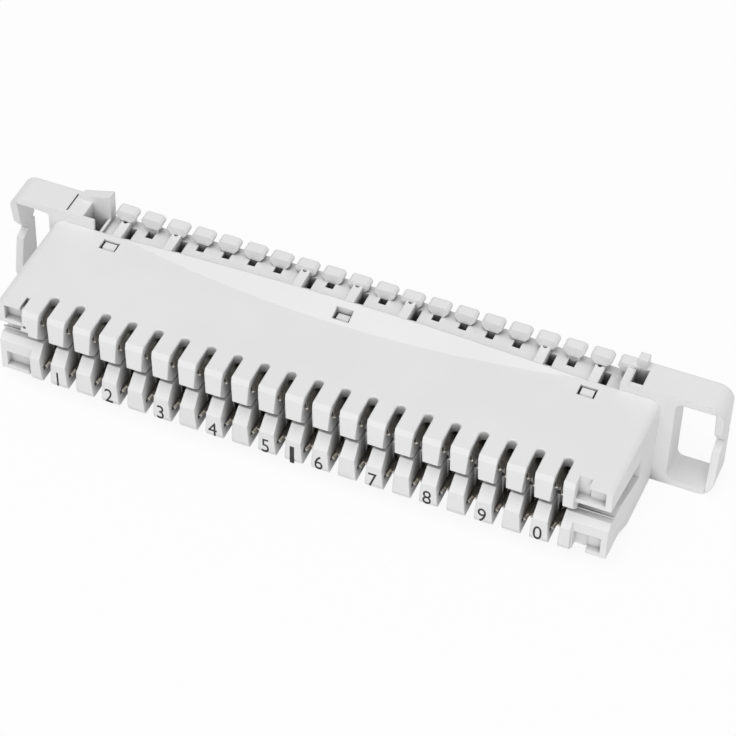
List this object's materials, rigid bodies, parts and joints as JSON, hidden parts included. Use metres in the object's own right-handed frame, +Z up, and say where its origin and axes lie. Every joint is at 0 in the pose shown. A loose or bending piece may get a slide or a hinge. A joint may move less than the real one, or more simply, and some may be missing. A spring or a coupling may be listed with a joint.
{
  "type": "punch down wiring block",
  "caption": "White wiring block: two rows of punch-down wire slots with fork contacts, a rear base with wire guide pegs, frame eyes and clip feet.",
  "frame": {"origin": "centre of the bounding box at the underside", "axes": "+X along the row of slots, to the right seen from the wire side; +Y from the wire side to the rear; +Z up"},
  "size_m": [0.1212, 0.034, 0.0211],
  "materials": {
    "white_plastic": "satin moulded",
    "silver_plate": "silver-plated brass"
  },
  "bodies": {
    "root": {"front_housing": "white_plastic", "rear_base": "white_plastic", "upper_contact_01": "silver_plate", "upper_contact_02": "silver_plate", "upper_contact_03": "silver_plate", "upper_contact_04": "silver_plate", "upper_contact_05": "silver_plate", "upper_contact_06": "silver_plate", "upper_contact_07": "silver_plate", "upper_contact_08": "silver_plate", "upper_contact_09": "silver_plate", "upper_contact_10": "silver_plate", "upper_contact_11": "silver_plate", "upper_contact_12": "silver_plate", "upper_contact_13": "silver_plate", "upper_contact_14": "silver_plate", "upper_contact_15": "silver_plate", "upper_contact_16": "silver_plate", "upper_contact_17": "silver_plate", "upper_contact_18": "silver_plate", "upper_contact_19": "silver_plate", "upper_contact_20": "silver_plate", "lower_contact_01": "silver_plate", "lower_contact_02": "silver_plate", "lower_contact_03": "silver_plate", "lower_contact_04": "silver_plate", "lower_contact_05": "silver_plate", "lower_contact_06": "silver_plate", "lower_contact_07": "silver_plate", "lower_contact_08": "silver_plate", "lower_contact_09": "silver_plate", "lower_contact_10": "silver_plate", "lower_contact_11": "silver_plate", "lower_contact_12": "silver_plate", "lower_contact_13": "silver_plate", "lower_contact_14": "silver_plate", "lower_contact_15": "silver_plate", "lower_contact_16": "silver_plate", "lower_contact_17": "silver_plate", "lower_contact_18": "silver_plate", "lower_contact_19": "silver_plate", "lower_contact_20": "silver_plate"}
  },
  "joints": []
}
